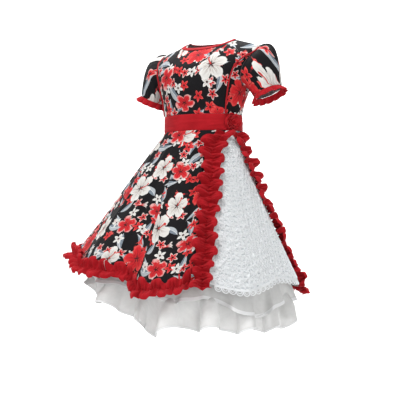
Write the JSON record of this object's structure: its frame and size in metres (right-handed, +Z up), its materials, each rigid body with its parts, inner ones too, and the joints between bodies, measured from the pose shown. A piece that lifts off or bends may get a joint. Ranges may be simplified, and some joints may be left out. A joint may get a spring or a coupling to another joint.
{
  "type": "cueca dress",
  "caption": "Worn knee-length dress with puff sleeves, waistband and rosette, a flared skirt open over a lace godet, gathered ruffles and two petticoats.",
  "frame": {"origin": "midway between the two shoulders, level with the side of the neck, where a wearer's shoulders carry the dress", "axes": "+Z up, the wearer faces -Y, the wearer's left is +X"},
  "size_m": [0.7931, 0.8315, 0.9197],
  "materials": {
    "floral_cotton": "printed plain weave cotton, near black ground with red, white and grey blue flowers",
    "red_cotton": "matt red plain weave cotton",
    "lace": "white corded lace in close tiers",
    "organza": "white organza with a satin bound hem"
  },
  "bodies": {
    "root": {"bodice_back_left": "floral_cotton", "bodice_back_right": "floral_cotton", "bodice_front": "floral_cotton", "bodice_side_front_left": "floral_cotton", "bodice_side_front_right": "floral_cotton", "gore_back_left": "floral_cotton", "gore_back_right": "floral_cotton", "gore_front_left": "floral_cotton", "gore_front_right": "floral_cotton", "gore_side_left": "floral_cotton", "gore_side_right": "floral_cotton", "hem_ruffle_1": "red_cotton", "hem_ruffle_2": "red_cotton", "hem_ruffle_3": "red_cotton", "hem_ruffle_4": "red_cotton", "hem_ruffle_5": "red_cotton", "hem_ruffle_6": "red_cotton", "lace_loops": "lace", "lace_panel": "lace", "neck_binding": "red_cotton", "panel_ruffle_back": "red_cotton", "panel_ruffle_front": "red_cotton", "petticoat_lower_1": "organza", "petticoat_lower_2": "organza", "petticoat_lower_3": "organza", "petticoat_lower_4": "organza", "petticoat_lower_5": "organza", "petticoat_lower_6": "organza", "petticoat_upper_1": "organza", "petticoat_upper_2": "organza", "petticoat_upper_3": "organza", "petticoat_upper_4": "organza", "petticoat_upper_5": "organza", "petticoat_upper_6": "organza", "princess_piping_left": "red_cotton", "princess_piping_right": "red_cotton", "rosette": "red_cotton", "sleeve_left": "floral_cotton", "sleeve_right": "floral_cotton", "sleeve_ruffle_left": "red_cotton", "sleeve_ruffle_right": "red_cotton", "waistband": "red_cotton"}
  },
  "joints": []
}
